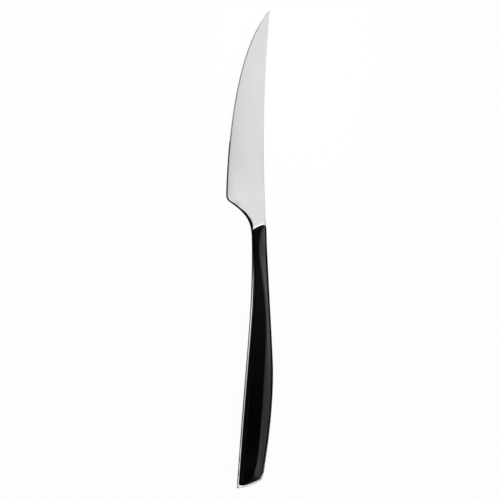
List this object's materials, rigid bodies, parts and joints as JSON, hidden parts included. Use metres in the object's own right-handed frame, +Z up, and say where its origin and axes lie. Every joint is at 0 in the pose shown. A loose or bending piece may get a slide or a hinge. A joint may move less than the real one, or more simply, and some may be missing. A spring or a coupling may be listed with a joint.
{
  "type": "table knife",
  "caption": "Table knife with an upswept pointed blade, fine teeth toward the tip, a forged neck and full steel tang, and crowned glossy black scales on both faces.",
  "frame": {"origin": "centre of the bounding box's bottom, on the surface that the knife lies on", "axes": "+Y along the knife to the blade's tip, +X to the spine side, +Z up, out of the front face"},
  "size_m": [0.0232, 0.2349, 0.0078],
  "materials": {
    "steel": "fine satin ground blade, polished neck and rim",
    "scale": "moulded gloss black",
    "bond": "cured grey epoxy, hidden but for its edge",
    "pin": "drawn rod, hidden"
  },
  "bodies": {
    "root": {"blade_and_tang": "steel", "front_scale": "scale", "back_scale": "scale", "front_bond": "bond", "back_bond": "bond", "neck_pin": "pin", "middle_pin": "pin", "butt_pin": "pin"}
  },
  "joints": []
}
